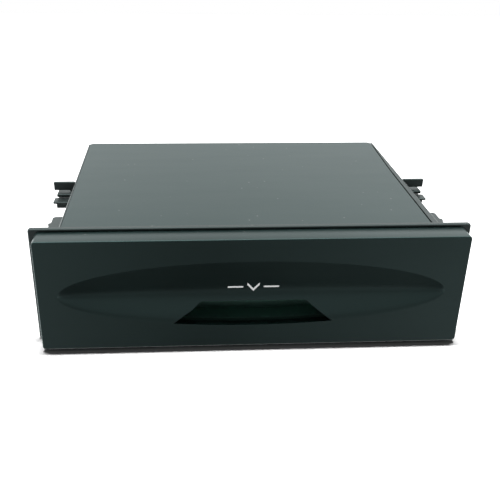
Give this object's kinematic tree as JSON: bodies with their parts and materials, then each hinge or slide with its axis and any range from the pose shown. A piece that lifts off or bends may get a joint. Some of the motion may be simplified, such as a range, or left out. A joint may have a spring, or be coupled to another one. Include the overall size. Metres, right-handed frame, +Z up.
{
  "type": "dashboard storage drawer box",
  "caption": "Flat rectangular dashboard box with a sliding drawer, a scooped front panel with a finger recess, a thin front flange and stepped side lugs.",
  "frame": {"origin": "middle of the unit's footprint in plan, level with the flange's lower edge", "axes": "+X across the unit to the viewer's right when facing the drawer, +Y from the drawer front to the rear wall, +Z up"},
  "size_m": [0.188, 0.14, 0.053],
  "materials": {
    "housing_plastic": "fine moulded grain, satin",
    "cover_plastic": "smooth satin",
    "flange_plastic": "satin",
    "tray_plastic": "moulded grain",
    "panel_plastic": "smooth satin",
    "recess_plastic": "matte",
    "slide_plastic": "smooth low-friction",
    "screw_steel": "black zinc",
    "insert_brass": "plain",
    "buffer_rubber": "matte",
    "mat_rubber": "ribbed matte"
  },
  "bodies": {
    "housing": {"housing_shell": "housing_plastic", "top_cover": "cover_plastic", "flange_frame": "flange_plastic", "left_mounting_lug": "housing_plastic", "right_mounting_lug": "housing_plastic", "left_guide_rail": "slide_plastic", "right_guide_rail": "slide_plastic", "flange_screws": "screw_steel", "lug_screws": "screw_steel", "side_inserts": "insert_brass", "rear_buffers": "buffer_rubber"},
    "drawer": {"drawer_tray": "tray_plastic", "front_panel": "panel_plastic", "pull_cup": "recess_plastic", "left_runner": "slide_plastic", "right_runner": "slide_plastic", "panel_screws": "screw_steel", "tray_mat": "mat_rubber"},
    "left_tongue": {"left_stop_tongue": "housing_plastic"},
    "right_tongue": {"right_stop_tongue": "housing_plastic"}
  },
  "joints": [
    {"name": "drawer_slide", "type": "slide", "parent": "housing", "child": "drawer", "axis": [0, -1, 0], "range_m": [0, 0.1]},
    {"name": "left_tongue_press", "type": "hinge", "parent": "housing", "child": "left_tongue", "pos_m": [-0.0625, -0.0154, 0.0033], "axis": [1, 0, 0], "range_deg": [0, 4], "stiffness_Nm_per_rad": 1.5, "springref_deg": -1.15},
    {"name": "right_tongue_press", "type": "hinge", "parent": "housing", "child": "right_tongue", "pos_m": [0.0625, -0.0154, 0.0033], "axis": [1, 0, 0], "range_deg": [0, 4], "stiffness_Nm_per_rad": 1.5, "springref_deg": -1.15}
  ]
}
